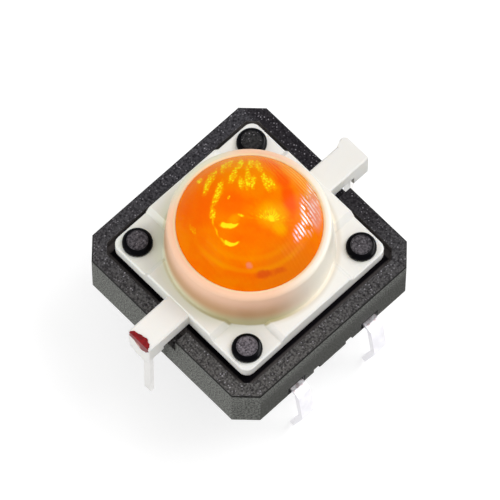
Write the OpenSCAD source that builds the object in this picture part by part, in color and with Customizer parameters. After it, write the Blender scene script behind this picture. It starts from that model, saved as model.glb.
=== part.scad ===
// Illuminated tactile push button switch for through-hole boards.
// Origin: centre of the face that seats on the board. +Z is up and the two lamp arms lie along Y.
// The black base holds the contacts and the snap dome. Four pegs moulded on the base pass through
// the white holder and are staked over it, so the holder slides down on them when it is pressed.
// The lamp sits in the holder's collar, and its leads leave under the arms.

/* [Base] */
// Width of the square base across its flats
body_w = 12; // [11.6:0.1:13]
// Leg of the chamfer on each outer corner
body_chamfer = 1; // [0.6:0.1:1.4]
// Height of the rim above the board
rim_z = 3.15; // [3:0.05:3.4]
// Thickness of the wall round the pocket
rim_wall = 0.8; // [0.6:0.05:1]
// Leg of the chamfer on each inner corner of the pocket
pocket_chamfer = 0.45; // [0.3:0.05:0.7]
// Height of the deck that the pegs stand on
deck_z = 2.5; // [2.4:0.05:2.6]
// Radius of the well under the holder
well_r = 3.3; // [3.1:0.05:3.5]
// Depth of the recess in the well floor that locates the snap dome
recess_h = 0.35; // [0.2:0.05:0.6]
// Height of the well floor, which the contacts are flush with
well_z = 0.85; // [0.8:0.05:0.95]
// Width of the notch that each lamp arm passes through
slot_w = 2; // [1.8:0.1:2.4]
// Height of the floor of that notch
slot_z = 2.05; // [1.8:0.05:2.2]
// Depth of the small chamfer along the outer top edge
rim_edge = 0.06; // [0.04:0.01:0.1]
// Height of the relief in the wall above each terminal
relief_h = 0.2; // [0.1:0.05:0.4]
// Depth of that relief into the wall
relief_d = 0.3; // [0.2:0.05:0.4]
// Margin of that relief on each side of a terminal
relief_side = 0.08; // [0.04:0.02:0.16]

/* [Underside] */
// Height of the seating face below the outer bottom edge
seat_h = 0.15; // [0.1:0.01:0.2]
// Width of the relieved margin round the seating face
seat_margin = 1; // [0.8:0.1:1.4]
// Lengths of the two feet that reach out to each terminal side
foot_l = [0.45, 0.5]; // [0.3:0.05:0.6]
// Places of those feet along the side
foot_y = [-0.8, 1.7]; // [-1.6:0.1:1.8]
// Width of the notches in the bottom edge of each terminal side
edge_notch_w = 0.45; // [0.3:0.05:0.6]
// Height of those notches
edge_notch_h = 0.32; // [0.2:0.02:0.4]
// Depth of those notches into the side
edge_notch_d = 0.5; // [0.3:0.05:0.7]
// Distance of each notch from the middle of the side
edge_notch_y = 1.1; // [0.9:0.05:1.3]

/* [Retaining pegs] */
// Radius of the peg shaft
peg_r = 0.5; // [0.4:0.02:0.54]
// Distance of a peg's axis from the pocket wall
peg_inset = 1.3; // [1.25:0.05:1.45]
// Radius of the staked head
peg_head_r = 0.77; // [0.7:0.01:0.84]
// Radius of the flat on top of the head
peg_flat_r = 0.46; // [0.3:0.02:0.5]
// Height of the head
peg_head_h = 0.38; // [0.3:0.02:0.5]
// Height of the head's upright edge, below its rounded shoulder
peg_edge_h = 0.1; // [0.06:0.01:0.14]
// Radial clearance between a peg and its hole
peg_gap = 0.06; // [0.04:0.01:0.08]
// Clearance under the head at rest
head_gap = 0.02; // [0.01:0.01:0.04]

/* [Holder] */
// Clearance between the plate and the pocket wall
plate_gap = 0.37; // [0.3:0.01:0.5]
// Height of the plate's underside above the deck
plate_lift = 0.65; // [0.5:0.05:0.8]
// Thickness of the raised cross on the plate
plate_t = 1.05; // [0.9:0.05:1.2]
// Drop from the cross to the corner pads
pad_drop = 0.35; // [0.2:0.05:0.4]
// Half width of the raised cross
cross_half = 2.45; // [2.3:0.05:2.6]
// Width of the ramp from the cross to a pad
ramp_w = 0.28; // [0.15:0.01:0.35]
// Radius of the plate's corners
plate_r = 0.5; // [0.3:0.05:0.7]
// Depth of the chamfer round the plate's upper edge
plate_edge = 0.08; // [0.04:0.01:0.12]
// Radius of the boss under the plate
boss_r = 2.7; // [2.5:0.05:2.9]
// Depth of that boss below the plate
boss_drop = 0.5; // [0.3:0.05:0.6]
// Radius of the nub that presses the dome
nub_r = 0.7; // [0.5:0.05:0.9]
// Clearance between the nub and the dome
nub_gap = 0.02; // [0.01:0.01:0.04]

/* [Collar] */
// Height of the collar above the raised cross
collar_h = 2.45; // [2.2:0.05:2.7]
// Thickness of the collar's wall at its top
collar_wall = 0.45; // [0.42:0.01:0.6]
// Growth of the collar's radius from its top to its foot on the corner pads
collar_draft = 0.2; // [0.1:0.01:0.4]
// Radius of the fillet at the collar's foot
collar_foot = 0.08; // [0.06:0.01:0.14]
// Radius of the rounded outer top edge
collar_edge = 0.28; // [0.25:0.01:0.36]
// Radius of the rounded inner top edge
collar_lip = 0.05; // [0.03:0.01:0.15]

/* [Arms] */
// Width of each arm
arm_w = 1.5; // [1.4:0.05:1.6]
// Thickness of each arm
arm_t = 1; // [0.8:0.05:1.05]
// Reach of the marked arm beyond the base
arm_reach = 1.5; // [1.4:0.05:1.7]
// Reach of the other arm beyond the base
square_reach = 1.45; // [1.35:0.05:1.7]
// Length of the block at the end of an arm
block_l = 0.95; // [0.85:0.05:1]
// Drop of the marked arm's block below the arm
block_drop = 1.05; // [0.9:0.05:1.2]
// Drop of the square block on the other arm
square_drop = 0.8; // [0.6:0.05:1]
// Radius of the square block's lower edges
square_r = 0.15; // [0.1:0.01:0.2]
// Width of the ear on one side of the square block
ear_w = 0.2; // [0.1:0.02:0.3]
// Length of that ear along the arm
ear_l = 0.7; // [0.6:0.05:0.8]
// Depth of the chamfer along the arm's upper edges
arm_edge = 0.09; // [0.05:0.01:0.14]

/* [Lamp] */
// Radius of the lamp's body
lamp_r = 3.6; // [3.5:0.01:3.65]
// Radial clearance between the lamp and the collar
lamp_gap = 0.02; // [0.01:0.01:0.04]
// Height of the dome above the collar
dome_h = 2.25; // [2:0.05:2.5]
// Thickness of the web under the lamp
web_t = 0.6; // [0.5:0.05:0.7]
// Width of a lead, across the arm
lead_w = 0.45; // [0.3:0.01:0.5]
// Thickness of a lead, along the arm
lead_t = 0.25; // [0.2:0.01:0.28]
// Distance between the leads where they leave the lamp
lead_pitch = 2.54; // [2.4:0.02:2.7]
// Distance from the base to the middle of a lead's free leg
lead_out = 0.9; // [0.85:0.05:0.95]
// Height of the leads' cut ends, below the board's top face
lead_tip_z = -2.95; // [-3.2:0.05:-2.2]
// Inner radius of the leads' bends
lead_bend = 0.1; // [0.06:0.01:0.14]
// Clearance round a lead in its channel
lead_gap = 0.03; // [0.02:0.01:0.05]
// Height of the reflector cup's rim above the lamp's seat
cup_z = 1.9; // [1.6:0.05:2.1]
// Outer radius of the reflector cup
cup_r = 0.6; // [0.5:0.02:0.7]
// Depth of the reflector cup
cup_d = 0.3; // [0.2:0.02:0.36]
// Radius of the cup's floor
cup_floor_r = 0.3; // [0.26:0.01:0.34]
// Thickness of the cup's floor, and of its rim
cup_t = [0.2, 0.1]; // [0.08:0.01:0.24]
// Gap between the cup and the anode's head
cup_gap = 0.3; // [0.2:0.02:0.4]
// Thickness of each lead's head under the lens
head_t = 0.3; // [0.2:0.02:0.4]
// Height of the wedge that widens a lead into its head
wedge_h = 0.9; // [0.7:0.05:1]
// Distance of the bond wire's landing from the edge of the anode's head
wire_land = 0.2; // [0.14:0.02:0.24]
// Side of the light-emitting chip
chip_w = 0.3; // [0.24:0.02:0.36]
// Height of the chip
chip_h = 0.18; // [0.12:0.02:0.22]
// Radius of the bond wire
wire_r = 0.03; // [0.02:0.01:0.04]

/* [Contacts] */
// Thickness of the contact strip
strip_t = 0.3; // [0.25:0.01:0.32]
// Width of a terminal leg
leg_w = 0.8; // [0.7:0.05:0.9]
// Height of the strip's upper face
strip_z = 0.6; // [0.56:0.01:0.62]
// Distance between the two terminals on one side
leg_pitch = 5; // [4.8:0.1:5.2]
// Distance from the base to the middle of the leg at its bend
leg_out = 0.38; // [0.34:0.02:0.44]
// Distance from the base to the middle of the leg at its kink
kink_out = 0.7; // [0.55:0.01:0.75]
// Height of the kink that holds the leg in its hole
kink_z = -1.85; // [-2:0.05:-1.5]
// Distance that the tip turns in under the base
tip_in = 0.1; // [0.05:0.05:0.3]
// Height of the leg's tip
leg_tip_z = -4.5; // [-4.7:0.05:-3.8]
// Width of the leg's tip
leg_tip_w = 0.34; // [0.25:0.01:0.45]
// Length of the taper at the tip
leg_taper = 1.6; // [1.2:0.1:2]
// Middle radius of the bend at the base
leg_bend = 0.26; // [0.2:0.01:0.3]
// Middle radius of the kink
kink_bend = 0.7; // [0.4:0.05:1]
// Radius of the centre contact
centre_r = 0.75; // [0.6:0.05:0.9]
// Radius of the centre contact's flat top
centre_top_r = 0.6; // [0.4:0.05:0.7]
// Length of each pad of the outer contact, along the base
rest_l = 1.2; // [0.8:0.1:1.6]
// Distance of a pad's middle inside the snap dome's edge
rest_in = 0.2; // [0.1:0.05:0.3]
// Height of the centre contact above the well floor
centre_rise = 0.05; // [0.03:0.01:0.07]

/* [Snap dome] */
// Radius of the dome before its sides are trimmed
snap_r = 2.6; // [2.4:0.05:2.8]
// Distance between the dome's trimmed sides
snap_w = 4.4; // [4:0.05:4.6]
// Height of the dome
snap_h = 0.45; // [0.42:0.01:0.5]
// Thickness of the dome
snap_t = 0.08; // [0.06:0.01:0.1]
// Radial clearance between the dome and its recess
snap_gap = 0.08; // [0.04:0.01:0.12]

/* [Polarity mark] */
// Thickness of the paint
paint_t = 0.03; // [0.02:0.01:0.05]
// Depths of the stroke down the arm's end, from one edge to the other
paint_drop = [0.25, 0.35, 0.5, 0.45]; // [0.1:0.05:0.6]
// Width of the stroke on the arm's top
paint_top = 0.2; // [0.1:0.02:0.3]

/* [Hidden] */
$fn = 64;
over = 1;
half_body = body_w / 2;
pocket_w = body_w - 2 * rim_wall;
plate_w = pocket_w - 2 * plate_gap;
peg_xy = pocket_w / 2 - peg_inset;
plate_z = deck_z + plate_lift;
cross_z = plate_z + plate_t;
cross_top_half = cross_half - ramp_w;
pad_z = cross_z - pad_drop;
arm_z = plate_z + arm_t;
collar_z = cross_z + collar_h;
collar_bore = lamp_r + lamp_gap;
collar_r = collar_bore + collar_wall;
collar_foot_r = collar_r + collar_draft;
boss_z = plate_z - boss_drop;
snap_top = well_z + snap_h;
lamp_z = plate_z + web_t;
lead_y = half_body + lead_out;
block_z = plate_z - block_drop;
square_z = plate_z - square_drop;
post_z = lamp_z + cup_z;
cup_base_z = post_z - cup_d - cup_t[0];
channel_w = lead_w + 2 * lead_gap;
ARC = 6;

// Plane helpers for rounded paths and strips of even thickness
function unit(v) = v / norm(v);
function left(v) = [-v[1], v[0]];
function slerp(s, e, w, k) = (sin((1 - k) * w) * s + sin(k * w) * e) / sin(w);
function corner(p, q, r, radius) =
    let (a = unit(p - q), b = unit(r - q), half = acos(a * b) / 2,
        centre = q + unit(a + b) * radius / sin(half), run = radius / tan(half),
        s = q + a * run - centre, e = q + b * run - centre)
    [for (i = [0:ARC]) centre + slerp(s, e, 180 - 2 * half, i / ARC)];
function side(path, i) =
    let (n = len(path), a = unit(path[min(i + 1, n - 1)] - path[min(i, n - 2)]),
        b = unit(path[max(i, 1)] - path[max(i - 1, 0)]), m = unit(left(a) + left(b)))
    m / (m * left(a));
function strip(path, t) = concat(
    [for (i = [0:len(path) - 1]) path[i] + side(path, i) * t / 2],
    [for (i = [len(path) - 1:-1:0]) path[i] - side(path, i) * t / 2]);
function arc(x, z, r, from, to) =
    [for (i = [0:ARC]) let (a = from + (to - from) * i / ARC) [x + r * cos(a), z + r * sin(a)]];

module chamfered_square(w, c) {
    h = w / 2;
    polygon([[h - c, -h], [h, c - h], [h, h - c], [h - c, h],
        [c - h, h], [-h, h - c], [-h, c - h], [c - h, -h]]);
}

// Rectangle that stands on low, with a small chamfer on both upper corners
module edged_section(w, low, high, edge) {
    h = w / 2;
    polygon([[-h, low], [h, low], [h, high - edge], [h - edge, high], [edge - h, high], [-h, high - edge]]);
}

// Draws a profile in the XZ plane and thickens it along Y, centred on y = 0
module along_y(length) {
    translate([0, length / 2, 0]) rotate([90, 0, 0]) linear_extrude(length) children();
}

// Draws a profile whose first axis is Y and second is Z, and thickens it along X
module along_x(length) {
    translate([-length / 2, 0, 0]) rotate([90, 0, 90]) linear_extrude(length) children();
}

module at_pegs() {
    for (x = [-1, 1], y = [-1, 1])
        translate([x * peg_xy, y * peg_xy, 0]) children();
}

// Black base

module staked_peg() {
    head_z = pad_z + head_gap;
    shoulder = [peg_head_r - peg_flat_r, peg_head_h - peg_edge_h];
    translate([0, 0, deck_z - over / 2]) cylinder(r = peg_r, h = head_z - deck_z + over / 2 + peg_edge_h);
    translate([0, 0, head_z])
        rotate_extrude()
            polygon(concat([[0, 0], [peg_head_r, 0]],
                [for (i = [0:ARC]) let (a = 90 * i / ARC)
                    [peg_flat_r + shoulder[0] * cos(a), peg_edge_h + shoulder[1] * sin(a)]],
                [[0, peg_head_h]]));
}

module base_shell() {
    across_chamfers = sqrt(2) * (body_w - body_chamfer);
    difference() {
        union() {
            intersection_for(side = [0:3])
                rotate([0, 0, 45 * side]) along_y(2 * body_w)
                    edged_section(side % 2 == 0 ? body_w : across_chamfers, seat_h, rim_z, rim_edge);
            linear_extrude(seat_h + over / 4)
                chamfered_square(body_w - 2 * seat_margin, body_chamfer);
            for (turn = [0, 180], i = [0, 1])
                rotate([0, 0, turn])
                    translate([0, foot_y[i] - foot_l[i] / 2, 0])
                        cube([half_body - rim_edge, foot_l[i], seat_h + over / 4]);
        }
        translate([0, 0, deck_z]) linear_extrude(rim_z) chamfered_square(pocket_w, pocket_chamfer);
        translate([0, 0, well_z]) cylinder(r = snap_r + snap_gap, h = rim_z);
        translate([0, 0, well_z + recess_h]) cylinder(r = well_r, h = rim_z);
        for (side = [-1, 1])
            translate([0, side * (half_body + over - (rim_wall + over) / 2), slot_z + rim_z / 2])
                cube([slot_w, rim_wall + over, rim_z], center = true);
        for (turn = [0, 180], y = [-1, 1])
            rotate([0, 0, turn])
                translate([half_body - edge_notch_d, y * edge_notch_y - edge_notch_w / 2, -over])
                    cube([edge_notch_d + over, edge_notch_w, seat_h + edge_notch_h + over]);
        for (turn = [0, 180], y = [-1, 1])
            rotate([0, 0, turn]) translate([half_body - relief_d, y * leg_pitch / 2, strip_z - strip_t])
                terminal_relief();
    }
}

// Shallow window in the wall that a terminal leaves through
module terminal_relief() {
    width = leg_w + 2 * relief_side;
    translate([0, -width / 2, 0]) cube([relief_d + over, width, strip_t + relief_h]);
}

module base() {
    color("#2b2b2e")
        difference() {
            union() {
                base_shell();
                at_pegs() staked_peg();
            }
            centre_contact_form();
            outer_contact_form();
        }
}

// Contact strips, moulded into the floor of the base

function leg_path() =
    let (mid_z = strip_z - strip_t / 2, start = [half_body - over, mid_z],
        bend = [half_body + leg_out, mid_z], kink = [half_body + kink_out, kink_z],
        tip = [half_body - tip_in, leg_tip_z])
    concat([start], corner(start, bend, kink, leg_bend), corner(bend, kink, tip, kink_bend), [tip]);

module leg() {
    leg_half = [leg_w, leg_w, leg_tip_w] / 2;
    leg_levels = [over, leg_tip_z + leg_taper, leg_tip_z - strip_t];
    intersection() {
        along_y(leg_w) polygon(strip(leg_path(), strip_t));
        along_x(3 * body_w)
            polygon(concat([for (i = [0:2]) [-leg_half[i], leg_levels[i]]],
                [for (i = [2:-1:0]) [leg_half[i], leg_levels[i]]]));
    }
}

// One strip with a terminal leg at each end
module leg_pair(y) {
    translate([0, y, 0]) {
        leg();
        mirror([1, 0, 0]) leg();
        translate([over / 2 - half_body, -leg_w / 2, strip_z - strip_t])
            cube([2 * half_body - over, leg_w, strip_t]);
    }
}

module centre_contact_form() {
    leg_pair(-leg_pitch / 2);
    translate([-leg_w / 2, -leg_pitch / 2, strip_z - strip_t]) cube([leg_w, leg_pitch / 2, strip_t]);
    translate([0, 0, strip_z - strip_t]) cylinder(r = centre_r, h = strip_t);
    translate([0, 0, strip_z - strip_t / 2])
        cylinder(r1 = centre_r, r2 = centre_top_r, h = well_z + centre_rise - strip_z + strip_t / 2);
}

module centre_contact() {
    color("#c9c9c6") centre_contact_form();
}

// Its two pads lie flush with the well floor, under the snap dome's edge
module outer_contact_form() {
    leg_pair(leg_pitch / 2);
    for (x = [-1, 1])
        translate([x * (snap_r - rest_in) - leg_w / 2, -rest_l / 2, strip_z - strip_t]) {
            cube([leg_w, (leg_pitch + rest_l) / 2, strip_t]);
            cube([leg_w, rest_l, well_z - strip_z + strip_t]);
        }
}

module outer_contact() {
    color("#c9c9c6") outer_contact_form();
}

// Domed spring plate that snaps down onto the centre contact
module snap_dome() {
    sphere_r = (snap_r * snap_r + snap_h * snap_h) / (2 * snap_h);
    color("#d8d2c0")
        intersection() {
            translate([0, 0, snap_top - sphere_r])
                difference() {
                    sphere(sphere_r, $fn = 96);
                    sphere(sphere_r - snap_t, $fn = 96);
                }
            translate([-snap_r, -snap_w / 2, well_z]) cube([2 * snap_r, snap_w, snap_h + over]);
        }
}

// White holder: plate, collar, arms, boss and nub in one moulding

// Plate with rounded corners and a small chamfer round its upper edge
module slab(top) {
    flat = plate_w - 2 * plate_r;
    along_y(flat) edged_section(plate_w, plate_z, top, plate_edge);
    along_x(flat) edged_section(plate_w, plate_z, top, plate_edge);
    for (x = [-1, 1], y = [-1, 1])
        translate([x * flat / 2, y * flat / 2, 0]) {
            translate([0, 0, plate_z]) cylinder(r = plate_r, h = top - plate_edge - plate_z);
            translate([0, 0, top - plate_edge])
                cylinder(r1 = plate_r, r2 = plate_r - plate_edge, h = plate_edge);
        }
}

// One bar of the raised cross, with a ramp down to the pads on both sides
module cross_bar() {
    along_y(plate_w)
        polygon([[-cross_half, plate_z], [cross_half, plate_z], [cross_half, pad_z],
            [cross_top_half, cross_z], [-cross_top_half, cross_z], [-cross_half, pad_z]]);
}

module plate() {
    slab(pad_z);
    intersection() {
        slab(cross_z);
        union() {
            cross_bar();
            rotate([0, 0, 90]) cross_bar();
        }
    }
}

// Radius of the collar's tapered wall at a height
function collar_wall_r(z) =
    collar_foot_r - collar_draft * (z - pad_z) / (collar_z - collar_edge - pad_z);

// Ring that rounds the corner between the collar's wall and the face below it
module foot_fillet(face_z) {
    high = face_z + collar_foot;
    r = collar_wall_r(high) + collar_foot;
    low = face_z - over / 4;
    rotate_extrude()
        polygon(concat([[collar_bore, low], [r, low]], arc(r, high, collar_foot, 270, 180),
            [[collar_bore, high]]));
}

// The collar as a solid plug, before the lamp's seat is cut out of it
module collar() {
    low = lamp_z - web_t / 2;
    rotate_extrude()
        polygon(concat([[0, low], [collar_foot_r, low], [collar_foot_r, pad_z]],
            arc(collar_r - collar_edge, collar_z - collar_edge, collar_edge, 0, 90),
            [[0, collar_z]]));
    foot_fillet(pad_z);
    intersection() {
        foot_fillet(cross_z);
        for (turn = [0, 90])
            rotate([0, 0, turn])
                translate([-cross_top_half, -plate_w / 2, cross_z - over / 2])
                    cube([2 * cross_top_half, plate_w, over]);
    }
}

module lamp_seat() {
    rotate_extrude()
        polygon(concat([[0, lamp_z], [collar_bore, lamp_z]],
            arc(collar_bore + collar_lip, collar_z - collar_lip, collar_lip, 180, 90),
            [[collar_bore + collar_lip, collar_z + over], [0, collar_z + over]]));
}

// End of the marked arm: square above, half round below
module round_block_section() {
    h = arm_w / 2;
    polygon(concat(arc(0, block_z + h, h, 180, 360),
        [[h, arm_z - arm_edge], [h - arm_edge, arm_z], [arm_edge - h, arm_z], [-h, arm_z - arm_edge]]));
}

// End of the other arm: square, with softened lower edges
module square_block_section(ear) {
    h = arm_w / 2;
    r = square_r;
    polygon(concat(arc(r - h - ear, square_z + r, r, 180, 270), arc(h - r, square_z + r, r, 270, 360),
        [[h, arm_z - arm_edge], [h - arm_edge, arm_z],
            [arm_edge - h - ear, arm_z], [-h - ear, arm_z - arm_edge]]));
}

module arm(reach) {
    length = half_body + reach - boss_r;
    translate([0, boss_r + length / 2, 0]) along_y(length) edged_section(arm_w, plate_z, arm_z, arm_edge);
}

module marked_arm() {
    mirror([0, 1, 0]) {
        arm(arm_reach);
        translate([0, half_body + arm_reach - block_l / 2, 0]) along_y(block_l) round_block_section();
    }
}

// The ear stands out on one side only and runs into the arm with a slant
module square_arm() {
    tip = half_body + square_reach;
    start = tip - ear_l;
    h = arm_w / 2;
    arm(square_reach);
    translate([0, tip - block_l / 2, 0]) along_y(block_l) square_block_section(0);
    intersection() {
        translate([0, tip - ear_l / 2, 0]) along_y(ear_l) square_block_section(ear_w);
        linear_extrude(2 * arm_z)
            polygon([[-h, start], [-h - ear_w, start + 2 * ear_w], [-h - ear_w, tip - ear_w],
                [-h, tip], [0, tip], [0, start]]);
    }
}

// Channel under an arm for the lead, open below, with a groove for the free leg
module lead_channel() {
    start = lead_pitch / 2 - lead_t / 2 - lead_gap;
    end = lead_y + lead_t / 2 + lead_gap;
    translate([-channel_w / 2, start, plate_z - block_drop - over])
        cube([channel_w, end - start, block_drop + over + lead_t + lead_gap]);
    translate([-channel_w / 2, start, plate_z])
        cube([channel_w, lead_t + 2 * lead_gap, web_t + over]);
}

module button_holder() {
    color("#ecebe6")
        difference() {
            union() {
                plate();
                collar();
                translate([0, 0, boss_z]) cylinder(r = boss_r, h = lamp_z - boss_z);
                translate([0, 0, snap_top + nub_gap]) cylinder(r = nub_r, h = boss_z - snap_top);
                marked_arm();
                square_arm();
            }
            lamp_seat();
            at_pegs()
                translate([0, 0, plate_z - over]) cylinder(r = peg_r + peg_gap, h = plate_t + 2 * over);
            for (turn = [0, 180]) rotate([0, 0, turn]) lead_channel();
        }
}

// Lamp: tinted lens moulded round two leads, a chip and a bond wire

module lens_form() {
    sphere_r = (lamp_r * lamp_r + dome_h * dome_h) / (2 * dome_h);
    centre = collar_z + dome_h - sphere_r;
    start = asin((collar_z - centre) / sphere_r);
    steps = 24;
    rotate_extrude($fn = 96)
        polygon(concat([[0, lamp_z], [lamp_r, lamp_z], [lamp_r, collar_z]],
            [for (i = [1:steps]) let (a = start + (90 - start) * i / steps)
                [i == steps ? 0 : sphere_r * cos(a), centre + sphere_r * sin(a)]]));
}

module lamp_lens() {
    color("#ff6a00", 0.8)
        difference() {
            lens_form();
            anode_form();
            cathode_form();
            chip_form();
            wire_form();
        }
}

// Lead path in the YZ plane, from the top of its post to its cut end
function lead_path(top) =
    let (start = [lead_pitch / 2, top], turn = [lead_pitch / 2, plate_z + lead_t / 2],
        bend = [lead_y, plate_z + lead_t / 2], end = [lead_y, lead_tip_z], r = lead_bend + lead_t / 2)
    concat([start], corner(start, turn, bend, r), corner(turn, bend, end, r), [end]);

module anode_form() {
    inner = lead_pitch / 2 - lead_t / 2;
    mirror([0, 1, 0]) {
        along_x(lead_w) polygon(strip(lead_path(post_z), lead_t));
        along_x(lead_w)
            polygon([[inner, post_z - wedge_h], [inner + lead_t, post_z - wedge_h],
                [inner + lead_t, post_z], [cup_r + cup_gap, post_z], [cup_r + cup_gap, post_z - head_t]]);
    }
}

module lamp_anode() {
    color("#d2d2ce") anode_form();
}

module cathode_form() {
    inner = lead_pitch / 2 - lead_t / 2;
    along_x(lead_w) polygon(strip(lead_path(cup_base_z), lead_t));
    along_x(lead_w)
        polygon([[inner, cup_base_z - wedge_h], [inner + lead_t, cup_base_z - wedge_h],
            [inner + lead_t, cup_base_z], [cup_floor_r, cup_base_z + cup_t[0] / 2],
            [-cup_floor_r, cup_base_z + cup_t[0] / 2], [-cup_floor_r, cup_base_z - head_t]]);
    translate([0, 0, cup_base_z])
        rotate_extrude()
            polygon([[0, 0], [cup_floor_r + cup_t[0], 0], [cup_r, cup_d + cup_t[0]],
                [cup_r - cup_t[1], cup_d + cup_t[0]], [cup_floor_r, cup_t[0]], [0, cup_t[0]]]);
}

module lamp_cathode() {
    color("#d2d2ce") cathode_form();
}

module chip_form() {
    translate([0, 0, post_z - cup_d + chip_h / 2]) cube([chip_w, chip_w, chip_h], center = true);
}

module lamp_chip() {
    color("#8a5a20") chip_form();
}

// The wire springs from the chip's top and lands on the anode's head
module wire_form() {
    from_z = post_z - cup_d + chip_h;
    land_y = cup_r + cup_gap + wire_land;
    span = land_y / 2;
    translate([0, -span, post_z])
        intersection() {
            rotate([0, 90, 0]) rotate_extrude($fn = 48) translate([span, 0]) circle(wire_r, $fn = 16);
            translate([-over, -2 * span, 0]) cube([2 * over, 4 * span, 2 * span]);
        }
    translate([0, 0, from_z]) cylinder(r = wire_r, h = post_z - from_z, $fn = 16);
}

module lamp_bond_wire() {
    color("#d9b24a") wire_form();
}

// Stroke of paint over the upper edge of one arm's end
module polarity_mark() {
    tip = -half_body - arm_reach;
    half = arm_w / 2 - arm_edge;
    last = len(paint_drop) - 1;
    low = arm_z - max(paint_drop);
    color("#8c0a14")
        intersection() {
            along_x(arm_w)
                polygon([[tip - paint_t, low], [tip, low], [tip, arm_z], [tip + paint_top, arm_z],
                    [tip + paint_top, arm_z + paint_t], [tip - paint_t, arm_z + paint_t]]);
            translate([0, tip, 0]) along_y(2 * over)
                polygon(concat([[half, arm_z + over], [-half, arm_z + over]],
                    [for (i = [0:last]) [half * (2 * i / last - 1), arm_z - paint_drop[i]]]));
        }
}

base();
centre_contact();
outer_contact();
snap_dome();
button_holder();
lamp_lens();
lamp_anode();
lamp_cathode();
lamp_chip();
lamp_bond_wire();
polarity_mark();
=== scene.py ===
import math

import bmesh
import bpy
from mathutils import Matrix, Vector, noise


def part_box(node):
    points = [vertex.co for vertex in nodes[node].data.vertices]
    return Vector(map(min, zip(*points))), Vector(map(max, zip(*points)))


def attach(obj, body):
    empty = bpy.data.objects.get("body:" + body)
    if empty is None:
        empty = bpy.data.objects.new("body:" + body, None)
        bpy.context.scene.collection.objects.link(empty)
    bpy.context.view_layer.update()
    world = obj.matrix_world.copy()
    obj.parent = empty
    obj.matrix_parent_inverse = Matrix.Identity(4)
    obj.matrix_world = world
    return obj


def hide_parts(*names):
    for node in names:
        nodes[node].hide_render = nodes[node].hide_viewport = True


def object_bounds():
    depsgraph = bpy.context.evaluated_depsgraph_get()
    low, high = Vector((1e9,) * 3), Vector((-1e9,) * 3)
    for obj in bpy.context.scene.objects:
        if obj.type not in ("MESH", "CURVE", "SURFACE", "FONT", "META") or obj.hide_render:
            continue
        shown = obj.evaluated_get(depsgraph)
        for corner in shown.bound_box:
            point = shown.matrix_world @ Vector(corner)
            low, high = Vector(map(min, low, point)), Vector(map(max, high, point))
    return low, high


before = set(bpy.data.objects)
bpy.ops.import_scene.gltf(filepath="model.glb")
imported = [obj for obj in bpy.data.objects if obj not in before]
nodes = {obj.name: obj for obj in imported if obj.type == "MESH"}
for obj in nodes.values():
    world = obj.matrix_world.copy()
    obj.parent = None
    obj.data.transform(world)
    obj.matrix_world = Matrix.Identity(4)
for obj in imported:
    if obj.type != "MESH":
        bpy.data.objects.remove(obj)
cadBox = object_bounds()
print("frame loaded:", len(nodes), "nodes")

mm = 0.001
perMm = 1000.0

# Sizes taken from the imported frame
lensLow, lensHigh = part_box("lamp_lens")
markLow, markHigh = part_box("polarity_mark")


# Direction from the part at a turn from -Y and a rise from the floor, in degrees
def towards(azimuth, elevation):
    turn = math.radians(azimuth)
    rise = math.radians(elevation)
    return Vector((math.sin(turn) * math.cos(rise), -math.cos(turn) * math.cos(rise), math.sin(rise)))


# Camera: the photograph's place, height and turn, fitted to the corners of the base
cameraView = {
    "azimuth": 45.917,
    "elevation": 66.94,
    "roll": 0.282,
    "distance": 350 * mm,
    "target": Vector((-0.325, 0.360, 2.15)) * mm,
    "lens": 508.6,
    "sensor": 36.0,
}


def makeCamera(view):
    turn = math.radians(view["azimuth"])
    roll = math.radians(view["roll"])
    back = towards(view["azimuth"], view["elevation"])
    right = Vector((math.cos(turn), math.sin(turn), 0))
    up = back.cross(right)
    rightRolled = right * math.cos(roll) + up * math.sin(roll)
    upRolled = up * math.cos(roll) - right * math.sin(roll)
    place = view["target"] + back * view["distance"]
    data = bpy.data.cameras.new("camera")
    data.sensor_width = view["sensor"]
    data.lens = view["lens"]
    data.dof.use_dof = False
    camera = bpy.data.objects.new("camera", data)
    bpy.context.scene.collection.objects.link(camera)
    turnTo = Matrix((rightRolled, upRolled, back)).transposed().to_4x4()
    camera.matrix_world = Matrix.Translation(place) @ turnTo
    bpy.context.scene.camera = camera


makeCamera(cameraView)
bpy.context.scene.view_settings.view_transform = "Standard"
print("camera placed")


# Shader helpers

def newMaterial(name, surface):
    material = bpy.data.materials.new(name)
    material.use_nodes = True
    tree = material.node_tree
    tree.nodes.clear()
    output = tree.nodes.new("ShaderNodeOutputMaterial")
    shader = tree.nodes.new("ShaderNodeBsdfPrincipled")
    tree.links.new(shader.outputs["BSDF"], output.inputs["Surface"])
    for label, value in surface.items():
        shader.inputs[label].default_value = value
    return material, tree, shader


def addNode(tree, kind, values=None, **settings):
    node = tree.nodes.new(kind)
    for name, value in settings.items():
        setattr(node, name, value)
    for name, value in (values or {}).items():
        node.inputs[name].default_value = value
    return node


def plug(tree, item, socket):
    if isinstance(item, bpy.types.NodeSocket):
        tree.links.new(item, socket)
    else:
        socket.default_value = item


def calc(tree, operation, *items, clamp=False):
    node = addNode(tree, "ShaderNodeMath", operation=operation, use_clamp=clamp)
    for i, item in enumerate(items):
        plug(tree, item, node.inputs[i])
    return node.outputs[0]


def times(tree, first, *others):
    for other in others:
        first = calc(tree, "MULTIPLY", first, other)
    return first


def strongest(tree, masks):
    result = masks[0]
    for mask in masks[1:]:
        result = calc(tree, "MAXIMUM", result, mask)
    return result


# Eased change from one value to another while the factor goes from low to high
def ramp(tree, factor, low, high, toLow=0.0, toHigh=1.0):
    node = addNode(tree, "ShaderNodeMapRange", interpolation_type="SMOOTHSTEP")
    for name, item in (("Value", factor), ("From Min", low), ("From Max", high),
                       ("To Min", toLow), ("To Max", toHigh)):
        plug(tree, item, node.inputs[name])
    return node.outputs["Result"]


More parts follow.
